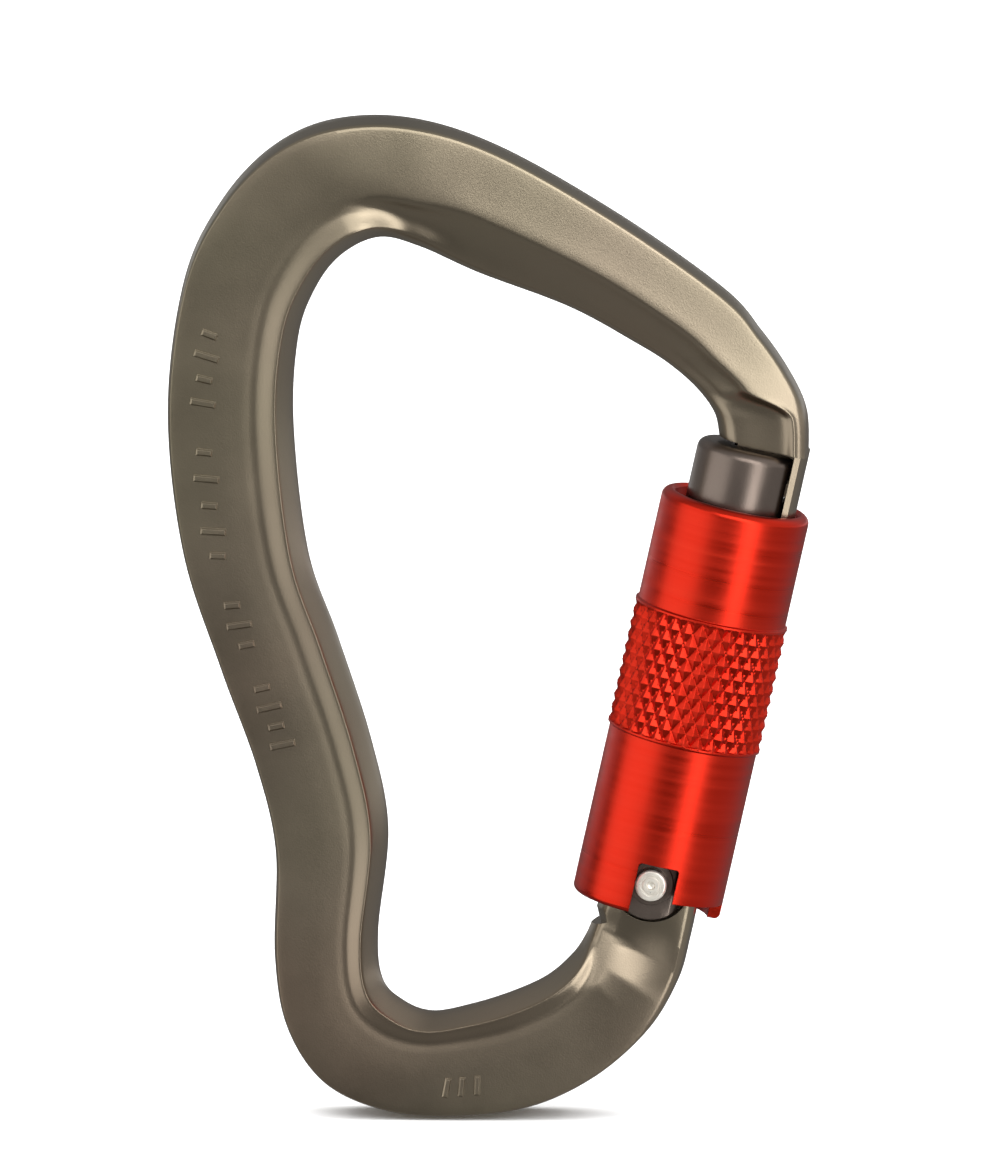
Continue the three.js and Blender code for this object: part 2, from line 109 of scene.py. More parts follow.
# Half of the body's section from the outer edge inwards. A height is half the thickness there. "share" is
# how far across the width the crease lies, "outer" is [distance from the outer edge, height], "band" is
# the height at BAND_AT of the way from the outer rounding to the crease, "bead" is [share of the way from
# the crease to the inner edge, height], and "inner" is [distance from the inner edge, height]. Where the
# part inside the crease is narrower than BEAD_ROOM, the distances of "inner" shrink with it.
BAND_AT = (0.62, 0.955)
BEAD_ROOM = 4.6
ROUNDING_PASSES = 2
SECTIONS = {
    "nose": {
        "share": 0.16,
        "outer": [(0.1, 1.8), (0.3, 3.1), (0.6, 3.8), (0.95, 4.05)],
        "band": (4.2, 4.45),
        "bead": [(0.04, 4.3), (0.12, 3.75), (0.35, 3.5)],
        "inner": [(2.6, 3.4), (1.7, 3.2), (0.8, 2.5), (0.2, 1.3)],
    },
    "pocket": {
        "share": 0.5,
        "outer": [(0.08, 2.0), (0.2, 3.3), (0.38, 3.85), (0.6, 4.0)],
        "band": (4.66, 4.98),
        "bead": [(0.03, 4.9), (0.2, 4.05), (0.5, 3.5)],
        "inner": [(2.2, 3.0), (1.3, 2.6), (0.75, 2.2), (0.2, 1.2)],
    },
    "top_arm": {
        "share": 0.54,
        "outer": [(0.08, 2.2), (0.18, 3.5), (0.32, 3.95), (0.5, 4.08)],
        "band": (4.68, 5.06),
        "bead": [(0.03, 4.95), (0.22, 4.1), (0.5, 3.2)],
        "inner": [(1.9, 2.65), (1.2, 2.35), (0.75, 2.1), (0.2, 1.2)],
    },
    "bead_end": {
        "share": 0.6,
        "outer": [(0.1, 2.4), (0.22, 3.8), (0.4, 4.3), (0.62, 4.44)],
        "band": (4.92, 5.06),
        "bead": [(0.04, 4.95), (0.2, 4.1), (0.4, 3.5)],
        "inner": [(2.1, 3.5), (1.6, 3.4), (0.9, 2.8), (0.22, 1.5)],
    },
    "spine": {
        "share": 0.61,
        "outer": [(0.1, 2.5), (0.22, 4.15), (0.38, 4.7), (0.62, 4.94)],
        "band": (5.1, 5.02),
        "bead": [(0.04, 4.98), (0.16, 4.92), (0.28, 4.97)],
        "inner": [(2.25, 5.6), (1.95, 5.52), (0.95, 3.5), (0.25, 1.7)],
    },
    "lower_arm": {
        "share": 0.66,
        "outer": [(0.1, 2.5), (0.22, 4.15), (0.38, 4.7), (0.62, 4.94)],
        "band": (5.1, 5.02),
        "bead": [(0.05, 4.97), (0.18, 4.9), (0.3, 4.95)],
        "inner": [(1.95, 5.48), (1.65, 5.4), (0.85, 3.5), (0.24, 1.7)],
    },
    "hinge": {
        "share": 0.76,
        "outer": [(0.1, 2.2), (0.3, 3.8), (0.7, 4.5), (1.3, 4.9)],
        "band": (5.1, 5.1),
        "bead": [(0.08, 5.0), (0.35, 4.85), (0.55, 4.7)],
        "inner": [(1.6, 4.4), (1.1, 4.1), (0.6, 3.2), (0.2, 1.8)],
    },
}
# The section at each of these stations. Between two of them one section eases into the next.
ZONES = [
    (0, "nose"), (0.9, "nose"), (1.9, "pocket"), (3, "top_arm"), (6.1, "top_arm"), (7.1, "bead_end"),
    (8.5, "spine"), (18, "spine"), (20.5, "lower_arm"), (23.5, "lower_arm"), (25.5, "hinge"), (27, "hinge"),
]

# The slanted facet below the hinge and the hollow above it, in the gate's frame: the facet's foot and top
# edges as [height at X = 0, rise per mm of X], the depth at the top edge, which is the smaller of
# HOLLOW_DEPTH and FACET_SLOPE times the facet's height, the height where the hollow ends, the share of its
# depth that is left there, the station it starts from, and the least thickness left, as a share.
FACET_FOOT = (-11.9, 0.45)
FACET_TOP = (-8.5, -0.4)
FACET_SLOPE = 0.42
HOLLOW_DEPTH = 1.5
HOLLOW_END = -3.2
HOLLOW_LEFT = 0.35
HOLLOW_FROM = 22
LEAST_SHARE = 0.4

# Plain raised ticks in the two places where the body carries marks. Each row is [first station, spacing in
# stations, lengths in turn, breadth, place across the width as a share, how many], and a tick's profile is
# [Y, how far its sides are in] from inside the body out to its front.
TICK_ROWS = [
    (11.3, 0.19, (1.9, 3.0), 0.8, 0.29, 4),
    (12.25, 0.19, (1.9, 3.0), 0.8, 0.29, 5),
    (13.45, 0.19, (1.9, 3.0), 0.8, 0.29, 3),
    (14.25, 0.19, (1.9, 3.0), 0.8, 0.29, 4),
    (20.8, 0.24, (2.3, 2.3), 0.7, 0.3, 3),
]
TICK_PROFILE = ((-4.6, 0), (-5.22, 0), (-5.38, 0.16))

# Hinge, from the CAD.
SHOULDER_TOP = -2.4
TANG_R, TANG_TOP, TANG_HALF, TANG_ROOT = 4.2, 2.6, 1.9, -6.4
FORK_HALF, FORK_TOP = 2.2, 4.9
EAR_R, EAR_HALF, EAR_GAP = 4.4, 4.9, 0.35
BOSS_R, BOSS_HALF = 2.6, 5.2
PIN_HOLE_R, PIN_HEAD_R, PIN_HALF = 1.58, 1.88, 6.95
GATE_OPEN = math.radians(26)

# Gate and nose key, from the CAD, but for the cap's flat. It is 0.35 mm deeper than the CAD's, so that the
# lip's cheeks stand in it.
BARREL_R, CAP_R, CAP_FOOT, CAP_TOP, CAP_ROUND = 5.6, 6, 38, 52.6, 1.2
CAP_FLAT, CAP_FLAT_FOOT = 5.35, 42.6
GROOVE_R, GROOVE_MID, GROOVE_HALF = 5.1, 6.55, 0.5
BARREL_SHOULDER = 4
LIP_FLAT, LIP_R, LIP_TOP = 6.05, 7.1, 53.7
TONGUE_FOOT, TONGUE_INNER, TONGUE_HALF, TOE_HALF, TOE_TOP = 48, -1.4, 1.5, 2.7, 49.6
KEY_GAP, KEY_DROP, KEY_BITE = 0.35, 0.7, 0.4
BORE_X, BORE_R, BORE_TOP = -1.6, 1.7, 16.5

# The lip, longer than the CAD's and with a cheek at each side that stands in the cap's flat.
LIP_FOOT, LIP_ARC_STEPS = 43.6, 8
CHEEK_INNER, CHEEK_HALF, CHEEK_START, CHEEK_LEAD, CHEEK_SLANT = 5.42, 3.75, 2.75, 0.15, 0.16

# Sleeve, from the CAD.
SLEEVE_FOOT, SLEEVE_TOP, SLEEVE_R, SLEEVE_BORE = -3.45, 45.9, 8.84, 7.4
KNURL_FOOT, KNURL_TOP = 17.4, 32.1
# The front notch: its left and right sides, its top and the radius of its corners.
NOTCH = (-1.95, 2.88, 2.72, 0.4)
STEP_ANGLES, STEP_LEVEL = (19, 92), -1.35
SLOT_ANGLES, SLOT_DEPTH = (131, 205), 6.6
SWING_GAP = 0.25

# Knurl: diamonds round the sleeve, height of a diamond's cell, grid steps in a cell, and radii. The first
# and last rows are moved in by KNURL_NUDGE, to stay clear of the plain rims.
KNURL_ROUND, KNURL_CELL, KNURL_STEPS = 32, 2.94, 8
KNURL_PEAK, KNURL_GROOVE, KNURL_NUDGE = 9.14, 8.62, 0.08
RIM_R, RIM_WIDTH, RIM_SLOPE = 9.12, 0.24, 0.16
# The sleeve's rounded foot and top edges, and the chamfer at the top of its bore.
FOOT_ROUND, TOP_ROUND, MOUTH_CHAMFER = 0.7, 1.0, 0.35

# The rivet's head from its neck outwards over the face to the dimple, as [radius, height above the face].
RIVET_NECK_R, RIVET_GAP, RIVET_ROUND, RIVET_ROUND_STEPS = 1.5, 0.05, 0.35, 6
RIVET_FACE = [(1.24, 0), (1.16, -0.1), (1.0, -0.1), (0.92, 0), (0.52, 0), (0.42, -0.22), (0.16, -0.34)]

# Springs: [coil radius, wire radius, lowest and highest centre of the wire, turns], and the share of its
# length that each keeps at its joint's far limit: 1 less its travel over its length at rest.
SLEEVE_SPRING, SLEEVE_SPRING_KEEP = (6.35, 0.42, 12.62, 36.66, 9), 1 - 3.2 / 24.9
GATE_SPRING, GATE_SPRING_KEEP = (1.2, 0.22, 9.32, 16.18, 8), 1 - 1.144 / 7.3
WIRE_SIDES, COIL_STEPS = 12, 36
# The share of a spring's rise that is spread evenly over its wire, and the part of a turn at each end that
# takes only that share, so that it lies nearly closed.
EVEN_RISE, CLOSED_TURNS = 0.35, 0.6

# How finely round things are cut. Points closer together than WELD are one point, and a knurl cell whose
# opposite corners differ by less than LEVEL_WITHIN, in squared radius, is a plain quad.
ROUND, ROD_ROUND, BORE_ROUND = 128, 96, 64
FORK_ARC_STEPS, CORNER_STEPS, NOTCH_STEPS, SWING_STEPS, WEDGE_STEP_DEG = 40, 8, 5, 20, 3
WELD = 1e-4
LEVEL_WITHIN = 1e-6
# Cutters reach this far past what they cut, this little past a face, or this little into the next cutter.
OVER, PAST, LAP = 20, 1, 0.01
ALONG_Y = Matrix.Rotation(math.pi / 2, 4, "X")


# ---------------------------------------------------------------- mesh helpers

def new_object(name, bm):
    """A mesh object in metres, smooth but for the edges where faces meet at a sharp angle."""
    bm.normal_update()
    for face in bm.faces:
        face.smooth = True
    for edge in bm.edges:
        if len(edge.link_faces) == 2:
            edge.smooth = edge.calc_face_angle(0) < SMOOTH_BELOW
    mesh = bpy.data.meshes.new(name)
    bm.to_mesh(mesh)
    bm.free()
    mesh.transform(Matrix.Scale(MM, 4))
    obj = bpy.data.objects.new(name, mesh)
    bpy.context.scene.collection.objects.link(obj)
    return obj


def add_rings(bm, rings, closed=True):
    """Joins rings of the same number of points with quads. closed=True also joins last to first."""
    made = [[bm.verts.new(p) for p in ring] for ring in rings]
    pairs = zip(made, made[1:] + made[:1]) if closed else zip(made, made[1:])
    for lower, upper in pairs:
        count = len(lower)
        for i in range(count):
            j = (i + 1) % count
            bm.faces.new((lower[i], lower[j], upper[j], upper[i]))
    return made


def add_capped(bm, rings):
    """Adds a body that runs through the rings and is closed at both ends."""
    made = add_rings(bm, rings, closed=False)
    bm.faces.new(made[0])
    bm.faces.new(made[-1])


def capped(rings):
    bm = bmesh.new()
    add_capped(bm, rings)
    bmesh.ops.recalc_face_normals(bm, faces=bm.faces)
    return bm


def rings_round(profile, segments):
    """Rings of points round Z, one for each [radius, height] pair."""
    rings = []
    for radius, height in profile:
        ring = []
        for i in range(segments):
            angle = FULL_TURN * i / segments
            ring.append(Vector((radius * math.cos(angle), radius * math.sin(angle), height)))
        rings.append(ring)
    return rings


def turned_tube(profile, segments=ROUND):
    """A body turned round Z from [radius, height] pairs that close on themselves, clear of the axis."""
    bm = bmesh.new()
    add_rings(bm, rings_round(profile, segments))
    bmesh.ops.recalc_face_normals(bm, faces=bm.faces)
    return bm


def turned_solid(profile, segments=ROUND):
    """A body turned round Z from [radius, height] pairs, closed at both ends."""
    return capped(rings_round(profile, segments))


def prism(outline, foot, top):
    """An [X, Y] outline pulled up from foot to top."""
    return capped([[Vector((x, y, z)) for x, y in outline] for z in (foot, top)])


def block(low, high):
    outline = [(low[0], low[1]), (high[0], low[1]), (high[0], high[1]), (low[0], high[1])]
    return prism(outline, low[2], high[2])


def moved(bm, matrix):
    bmesh.ops.transform(bm, matrix=matrix, verts=bm.verts)
    return bm


def cross_rod(radius, half):
    """A rod along Y through the hinge."""
    return moved(turned_solid([(radius, -half), (radius, half)], ROD_ROUND), ALONG_Y)


def wedge(from_deg, to_deg, foot, top):
    """A wedge round the gate's axis. Angle 0 faces the front and 90 faces outwards."""
    outline = [(0.0, 0.0)]
    steps = math.ceil((to_deg - from_deg) / WEDGE_STEP_DEG)
    for i in range(steps + 1):
        angle = math.radians(from_deg + (to_deg - from_deg) * i / steps)
        outline.append((OVER * math.sin(angle), -OVER * math.cos(angle)))
    return prism(outline, foot, top)


def combine(target, tool, operation):
    """Applies an exact boolean of another mesh to this one."""
    holder = bpy.data.objects.new("holder", bpy.data.meshes.new("holder"))
    target.to_mesh(holder.data)
    other = bpy.data.objects.new("tool", bpy.data.meshes.new("tool"))
    tool.to_mesh(other.data)
    for obj in (holder, other):
        bpy.context.scene.collection.objects.link(obj)
    modifier = holder.modifiers.new("cut", "BOOLEAN")
    modifier.operation = operation
    modifier.solver = "EXACT"
    modifier.object = other
    graph = bpy.context.evaluated_depsgraph_get()
    result = bmesh.new()
    result.from_mesh(holder.evaluated_get(graph).to_mesh())
    for obj in (holder, other):
        mesh = obj.data
        bpy.data.objects.remove(obj)
        bpy.data.meshes.remove(mesh)
    target.free()
    tool.free()
    bmesh.ops.remove_doubles(result, verts=result.verts, dist=WELD)
    bmesh.ops.dissolve_degenerate(result, edges=result.edges, dist=WELD)
    return result


def cut(target, *tools):
    for tool in tools:
        target = combine(target, tool, "DIFFERENCE")
    return target


def join(target, *tools):
    for tool in tools:
        target = combine(target, tool, "UNION")
    return target


# ---------------------------------------------------------------- body

def spline(points, t):
    """A Catmull-Rom curve through the points, at t from 0 to the number of spans."""
    last = len(points) - 1
    i = min(int(t), last - 1)
    f = t - i
    p0, p1, p2, p3 = (points[min(max(k, 0), last)] for k in (i - 1, i, i + 1, i + 2))
    rise0, rise1 = (p2 - p0) / 2, (p3 - p1) / 2
    return (
        (2 * p1 - 2 * p2 + rise0 + rise1) * f**3
        + (-3 * p1 + 3 * p2 - 2 * rise0 - rise1) * f**2
        + rise0 * f
        + p1
    )


def smoothstep(t):
    t = min(max(t, 0.0), 1.0)
    return t * t * (3 - 2 * t)


def mixed_section(station):
    """The section's numbers at a station, eased from zone to zone."""
    before = max((z for z in ZONES if z[0] <= station), key=lambda z: z[0])
    after = min((z for z in ZONES if z[0] >= station), key=lambda z: z[0])
    span = after[0] - before[0]
    f = smoothstep((station - before[0]) / span) if span else 0.0
    a, b = SECTIONS[before[1]], SECTIONS[after[1]]
    mix = {}
    for key in a:
        mix[key] = np.array(a[key], float) * (1 - f) + np.array(b[key], float) * f
    return mix


def half_section(width, station):
    """[distance from the outer edge, half thickness] across the body, from outer to inner edge."""
    section = mixed_section(station)
    crease = width * float(section["share"])
    inner_room = width - crease
    squeeze = min(1.0, inner_room / BEAD_ROOM)
    points = [(0.0, 0.0)]
    points += [tuple(p) for p in section["outer"]]
    start = points[-1][0]
    points += [(start + (crease - start) * at, h) for at, h in zip(BAND_AT, section["band"])]
    points += [(crease + inner_room * at, h) for at, h in section["bead"]]
    points += [(width - d * squeeze, h) for d, h in section["inner"]]
    points.append((width, 0.0))
    return points


def hollow(x, z, station):
    """How far the front and back faces sink at a point, from the slanted facet's foot up to the ears."""
    if station < HOLLOW_FROM:
        return 0.0
    dx, dz = x - HINGE.x, z - HINGE.z
    out = dx * math.cos(GATE_TILT) - dz * math.sin(GATE_TILT)
    up = dx * math.sin(GATE_TILT) + dz * math.cos(GATE_TILT)
    foot = FACET_FOOT[0] + FACET_FOOT[1] * out
    top = FACET_TOP[0] + FACET_TOP[1] * out
    if up <= foot or top <= foot:
        return 0.0
    deepest = min(HOLLOW_DEPTH, FACET_SLOPE * (top - foot))
    if up <= top:
        return deepest * (up - foot) / (top - foot)
    return deepest * (1 - smoothstep((up - top) / (HOLLOW_END - top)) * (1 - HOLLOW_LEFT))


def corner_cut(points, times):
    """Chaikin's corner cutting on a closed polygon."""
    for _ in range(times):
        following = np.roll(points, -1, axis=0)
        first = points * 0.75 + following * 0.25
        second = points * 0.25 + following * 0.75
        points = np.stack([first, second], axis=1).reshape(-1, points.shape[1])
    return points


def body_frame(station):
    """The outer edge's point, the unit vector across to the inner edge and the width, at a station."""
    outer = spline([np.array(o, float) for o, _ in STATIONS], station)
    inner = spline([np.array(i, float) for _, i in STATIONS], station)
    width = float(np.linalg.norm(inner - outer))
    return outer, (inner - outer) / width, width


def body_ring(station):
    outer, across, width = body_frame(station)
    front, back = [], []
    for distance, half in half_section(width, station):
        x, z = outer + across * distance
        if half:
            sunk = max(half - hollow(x, z, station), LEAST_SHARE * half)
            front.append((x, -sunk, z))
            back.append((x, sunk, z))
        else:
            front.append((x, 0.0, z))
    loop = np.array(front + back[::-1])
    return [Vector(p) for p in corner_cut(loop, ROUNDING_PASSES)]


def body_loft():
    count = (len(STATIONS) - 1) * STEPS_BETWEEN
    return capped([body_ring(i / STEPS_BETWEEN) for i in range(count + 1)])


def in_gate_frame(bm):
    return moved(bm, GATE_PLACE)


def fork_room():
    """Cutters for the fork's ears and for the gate's foot."""
    return [
        cross_rod(EAR_R + EAR_GAP, OVER),
        block((-OVER, -OVER, SHOULDER_TOP), (LAP, OVER, OVER / 2)),
        block((0, -OVER, 0), (OVER, OVER, OVER / 2)),
    ]


def sleeve_swing():
    """Cutters for the room that the closed sleeve sweeps as the gate opens."""
    inner, foot = SLEEVE_BORE - SWING_GAP, SLEEVE_FOOT - SWING_GAP
    profile = [(inner, foot), (OVER, foot), (OVER, foot + OVER), (inner, foot + OVER)]
    cutters = []
    for i in range(SWING_STEPS + 1):
        swing = Matrix.Rotation(-GATE_OPEN * i / SWING_STEPS, 4, "Y")
        cutters.append(moved(turned_tube(profile, ROD_ROUND), swing))
    return cutters


def tang():
    lobe = cross_rod(TANG_R, TANG_HALF)
    lobe = combine(lobe, block((-OVER, -OVER, -OVER), (OVER, OVER, TANG_TOP)), "INTERSECT")
    return join(lobe, block((-TANG_R, -TANG_HALF, TANG_ROOT), (TANG_R, TANG_HALF, 0)))


def lip():
    """The nose's lip: a shell round the cap with a cheek at each side."""
    half = [(LIP_FLAT, 0.0), (LIP_FLAT, CHEEK_START - CHEEK_LEAD), (CHEEK_INNER, CHEEK_START)]
    half += [(CHEEK_INNER, CHEEK_HALF)]
    start = math.asin((CHEEK_HALF - CHEEK_SLANT) / LIP_R)
    arc = [start * (1 - i / LIP_ARC_STEPS) for i in range(LIP_ARC_STEPS + 1)]
    half += [(LIP_R * math.cos(a), LIP_R * math.sin(a)) for a in arc]
    outline = half + [(x, -y) for x, y in half[-2:0:-1]]
    return prism(outline, LIP_FOOT, LIP_TOP)


def tongue():
    joined = LIP_FLAT + KEY_BITE
    stem = block((TONGUE_INNER, -TONGUE_HALF, TONGUE_FOOT), (joined, TONGUE_HALF, LIP_TOP))
    return join(stem, block((TONGUE_INNER, -TOE_HALF, TONGUE_FOOT), (joined, TOE_HALF, TOE_TOP)))


def add_tick(bm, station, share, length, breadth):
    """A raised tick on the front face: length runs across the body and breadth along it."""
    outer, across, width = body_frame(station)
    middle = outer + across * width * share
    along = np.array((-across[1], across[0]))
    rings = []
    for y, inset in TICK_PROFILE:
        ring = []
        for a, b in ((-1, -1), (1, -1), (1, 1), (-1, 1)):
            x, z = middle + across * a * (length / 2 - inset) + along * b * (breadth / 2 - inset)
            ring.append(Vector((x, y, z)))
        rings.append(ring)
    add_capped(bm, rings)


def marks():
    bm = bmesh.new()
    for first, spacing, lengths, breadth, share, count in TICK_ROWS:
        for i in range(count):
            add_tick(bm, first + spacing * i, share, lengths[i % 2], breadth)
    bmesh.ops.recalc_face_normals(bm, faces=bm.faces)
    return bm


def make_body():
    bm = body_loft()
    bm = cut(bm, *[in_gate_frame(tool) for tool in fork_room()])
    bm = join(bm, in_gate_frame(tang()))
    bm = cut(bm, *[in_gate_frame(tool) for tool in sleeve_swing()])
    bm = join(bm, in_gate_frame(lip()), in_gate_frame(tongue()))
    bm = join(bm, marks())
    bm = cut(bm, in_gate_frame(cross_rod(PIN_HOLE_R, OVER)))
    obj = new_object("forged_body", bm)
    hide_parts("frame")
    obj.data.materials.append(body_material())
    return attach(obj, "body")


# ---------------------------------------------------------------- gate, sleeve and rivet

def placed(obj):
    """Puts an object made in the gate's frame where the gate is."""
    obj.matrix_world = Matrix.Translation(HINGE * MM) @ Matrix.Rotation(GATE_TILT, 4, "Y")
    return obj


def plate(outline, half):
    """An [X, Z] outline as a plate across the hinge."""
    return moved(prism(outline, -half, half), ALONG_Y)


def rounded(radius, height, corner, steps=CORNER_STEPS):
    """[radius, height] points of a rounded top edge, from below."""
    points = []
    for i in range(steps + 1):
        angle = math.pi / 2 * i / steps
        points.append((radius - corner * (1 - math.cos(angle)), height - corner * (1 - math.sin(angle))))
    return points


def fork_outline():
    """The fork seen along the pin: round at the foot and widening to the barrel."""
    side = CAP_R + PAST
    outline = [(side, CAP_TOP + PAST), (-side, CAP_TOP + PAST), (-side, BARREL_SHOULDER)]
    for i in range(FORK_ARC_STEPS + 1):
        angle = math.pi + math.pi * i / FORK_ARC_STEPS
        outline.append((EAR_R * math.cos(angle), EAR_R * math.sin(angle)))
    outline.append((side, BARREL_SHOULDER))
    return outline


def key_slot():
    """Cutters for the slot in the cap that clears the tongue."""
    inner, foot = TONGUE_INNER - KEY_GAP, TONGUE_FOOT - KEY_DROP
    stem_half, toe_half = TONGUE_HALF + KEY_GAP, TOE_HALF + KEY_GAP
    return [
        block((inner, -stem_half, foot), (OVER, stem_half, CAP_TOP + PAST)),
        block((inner, -toe_half, foot), (OVER, toe_half, TOE_TOP + KEY_GAP)),
    ]


def make_gate():
    profile = [(BARREL_R, -EAR_R - PAST), (BARREL_R, GROOVE_MID - GROOVE_HALF)]
    profile += [(GROOVE_R, GROOVE_MID - GROOVE_HALF), (GROOVE_R, GROOVE_MID + GROOVE_HALF)]
    profile += [(BARREL_R, GROOVE_MID + GROOVE_HALF), (BARREL_R, CAP_FOOT), (CAP_R, CAP_FOOT)]
    profile += rounded(CAP_R, CAP_TOP, CAP_ROUND)
    bm = combine(turned_solid(profile), plate(fork_outline(), OVER), "INTERSECT")
    ears_end = BARREL_SHOULDER + PAST
    bm = cut(
        bm,
        block((-OVER, EAR_HALF, -OVER), (OVER, OVER, ears_end)),
        block((-OVER, -OVER, -OVER), (OVER, -EAR_HALF, ears_end)),
    )
    bm = join(bm, cross_rod(BOSS_R, BOSS_HALF))
    bore = turned_solid([(BORE_R, TANG_TOP), (BORE_R, BORE_TOP)], BORE_ROUND)
    bm = cut(
        bm,
        block((-OVER, -FORK_HALF, -OVER), (OVER, FORK_HALF, FORK_TOP)),
        cross_rod(PIN_HOLE_R, OVER),
        block((CAP_FLAT, -OVER, CAP_FLAT_FOOT), (OVER, OVER, CAP_TOP + PAST)),
        *key_slot(),
        moved(bore, Matrix.Translation((BORE_X, 0, 0))),
    )
    obj = placed(new_object("gate_arm_solid", bm))
    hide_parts("gate")
    obj.data.materials.append(gate_material())
    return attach(obj, "gate_arm")


def ridge(turn):
    """A zigzag from 1 down to 0 and back for each whole turn."""
    return abs(2 * (turn - math.floor(turn)) - 1)


def knurl_radius(i, height):
    u = i / KNURL_STEPS
    w = height / KNURL_CELL
    return KNURL_GROOVE + (KNURL_PEAK - KNURL_GROOVE) * min(ridge(u + w), ridge(u - w))


def even_ring(radius, height):
    return [(radius, height)] * (KNURL_ROUND * KNURL_STEPS)


def knurl_rings():
    rings = []
    rows = round((KNURL_TOP - KNURL_FOOT) / KNURL_CELL * KNURL_STEPS)
    for row in range(rows + 1):
        height = row * KNURL_CELL / KNURL_STEPS
        nudge = KNURL_NUDGE if row == 0 else -KNURL_NUDGE if row == rows else 0
        columns = range(KNURL_ROUND * KNURL_STEPS)
        rings.append([(knurl_radius(i, height), KNURL_FOOT + height + nudge) for i in columns])
    return rings


def sleeve_rings():
    """Rings of [radius, height] up the sleeve's outside, which its bore closes."""
    low_rim, high_rim = KNURL_FOOT - RIM_WIDTH, KNURL_TOP + RIM_WIDTH
    foot_round = reversed(rounded(SLEEVE_R, SLEEVE_FOOT, FOOT_ROUND, NOTCH_STEPS))
    rings = [even_ring(SLEEVE_BORE, SLEEVE_FOOT)]
    rings += [even_ring(radius, 2 * SLEEVE_FOOT - height) for radius, height in foot_round]
    rings += [even_ring(SLEEVE_R, low_rim - RIM_SLOPE), even_ring(RIM_R, low_rim)]
    rings += [even_ring(RIM_R, KNURL_FOOT)]
    rings += knurl_rings()
    rings += [even_ring(RIM_R, KNURL_TOP)]
    rings += [even_ring(RIM_R, high_rim), even_ring(SLEEVE_R, high_rim + RIM_SLOPE)]
    rings += [even_ring(radius, height) for radius, height in rounded(SLEEVE_R, SLEEVE_TOP, TOP_ROUND)]
    rings += [even_ring(SLEEVE_BORE + MOUTH_CHAMFER, SLEEVE_TOP)]
    rings += [even_ring(SLEEVE_BORE, SLEEVE_TOP - MOUTH_CHAMFER)]
    return rings


def add_cell(bm, corners):
    """A quad, or two triangles split along the diagonal that keeps the knurl's ridges sharp."""
    a, b, c, d = corners
    rise = [v.co.x**2 + v.co.y**2 for v in corners]
    first, second = abs(rise[0] - rise[2]), abs(rise[1] - rise[3])
    if first < LEVEL_WITHIN and second < LEVEL_WITHIN:
        bm.faces.new((a, b, c, d))
    elif first < second:
        bm.faces.new((a, b, c))
        bm.faces.new((a, c, d))
    else:
        bm.faces.new((a, b, d))
        bm.faces.new((b, c, d))


def sleeve_tube():
    """The sleeve before its notches, with a real diamond knurl."""
    bm = bmesh.new()
    made = []
    for ring in sleeve_rings():
        verts = []
        for i, (radius, height) in enumerate(ring):
            angle = FULL_TURN * i / len(ring)
            verts.append(bm.verts.new((radius * math.cos(angle), radius * math.sin(angle), height)))
        made.append(verts)
    for lower, upper in zip(made, made[1:] + made[:1]):
        for i in range(len(lower)):
            j = (i + 1) % len(lower)
            add_cell(bm, (lower[i], lower[j], upper[j], upper[i]))
    bmesh.ops.recalc_face_normals(bm, faces=bm.faces)
    return bm


def notch_outline(foot):
    left, right, top, corner = NOTCH
    outline = [(left, foot), (right, foot)]
    for x, quarter in ((right - corner, 0), (left + corner, 1)):
        for i in range(NOTCH_STEPS + 1):
            angle = math.pi / 2 * (quarter + i / NOTCH_STEPS)
            outline.append((x + corner * math.cos(angle), top - corner + corner * math.sin(angle)))
    return outline


def make_sleeve():
    below = SLEEVE_FOOT - PAST
    cutters = []
    for turn in (0, math.pi):
        half_turn = Matrix.Rotation(turn, 4, "Z")
        notch = moved(plate(notch_outline(below), OVER / 4), Matrix.Translation((0, -OVER / 2, 0)))
        cutters.append(moved(notch, half_turn))
        cutters.append(moved(wedge(*STEP_ANGLES, below, STEP_LEVEL), half_turn))
    cutters.append(wedge(*SLOT_ANGLES, SLEEVE_TOP - SLOT_DEPTH, SLEEVE_TOP + PAST))
    obj = placed(new_object("knurled_sleeve", cut(sleeve_tube(), *cutters)))
    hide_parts("locking_sleeve")
    obj.data.materials.append(sleeve_material())
    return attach(obj, "sleeve")


def make_rivet():
    """A turned pin with a ringed, dimpled head at each end."""
    head = [(RIVET_NECK_R, BOSS_HALF + RIVET_GAP), (PIN_HEAD_R, BOSS_HALF + RIVET_GAP)]
    head += rounded(PIN_HEAD_R, PIN_HALF, RIVET_ROUND, RIVET_ROUND_STEPS)
    head += [(radius, PIN_HALF + rise) for radius, rise in RIVET_FACE]
    profile = [(radius, -height) for radius, height in reversed(head)] + head
    obj = placed(new_object("hinge_pin", moved(turned_solid(profile, ROD_ROUND), ALONG_Y)))
    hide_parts("hinge_rivet")
    obj.data.materials.append(steel_material("rivet_steel", (0.72, 0.69, 0.61), rough=0.3, metallic=0.6))
    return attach(obj, "body")


# ---------------------------------------------------------------- springs and small parts

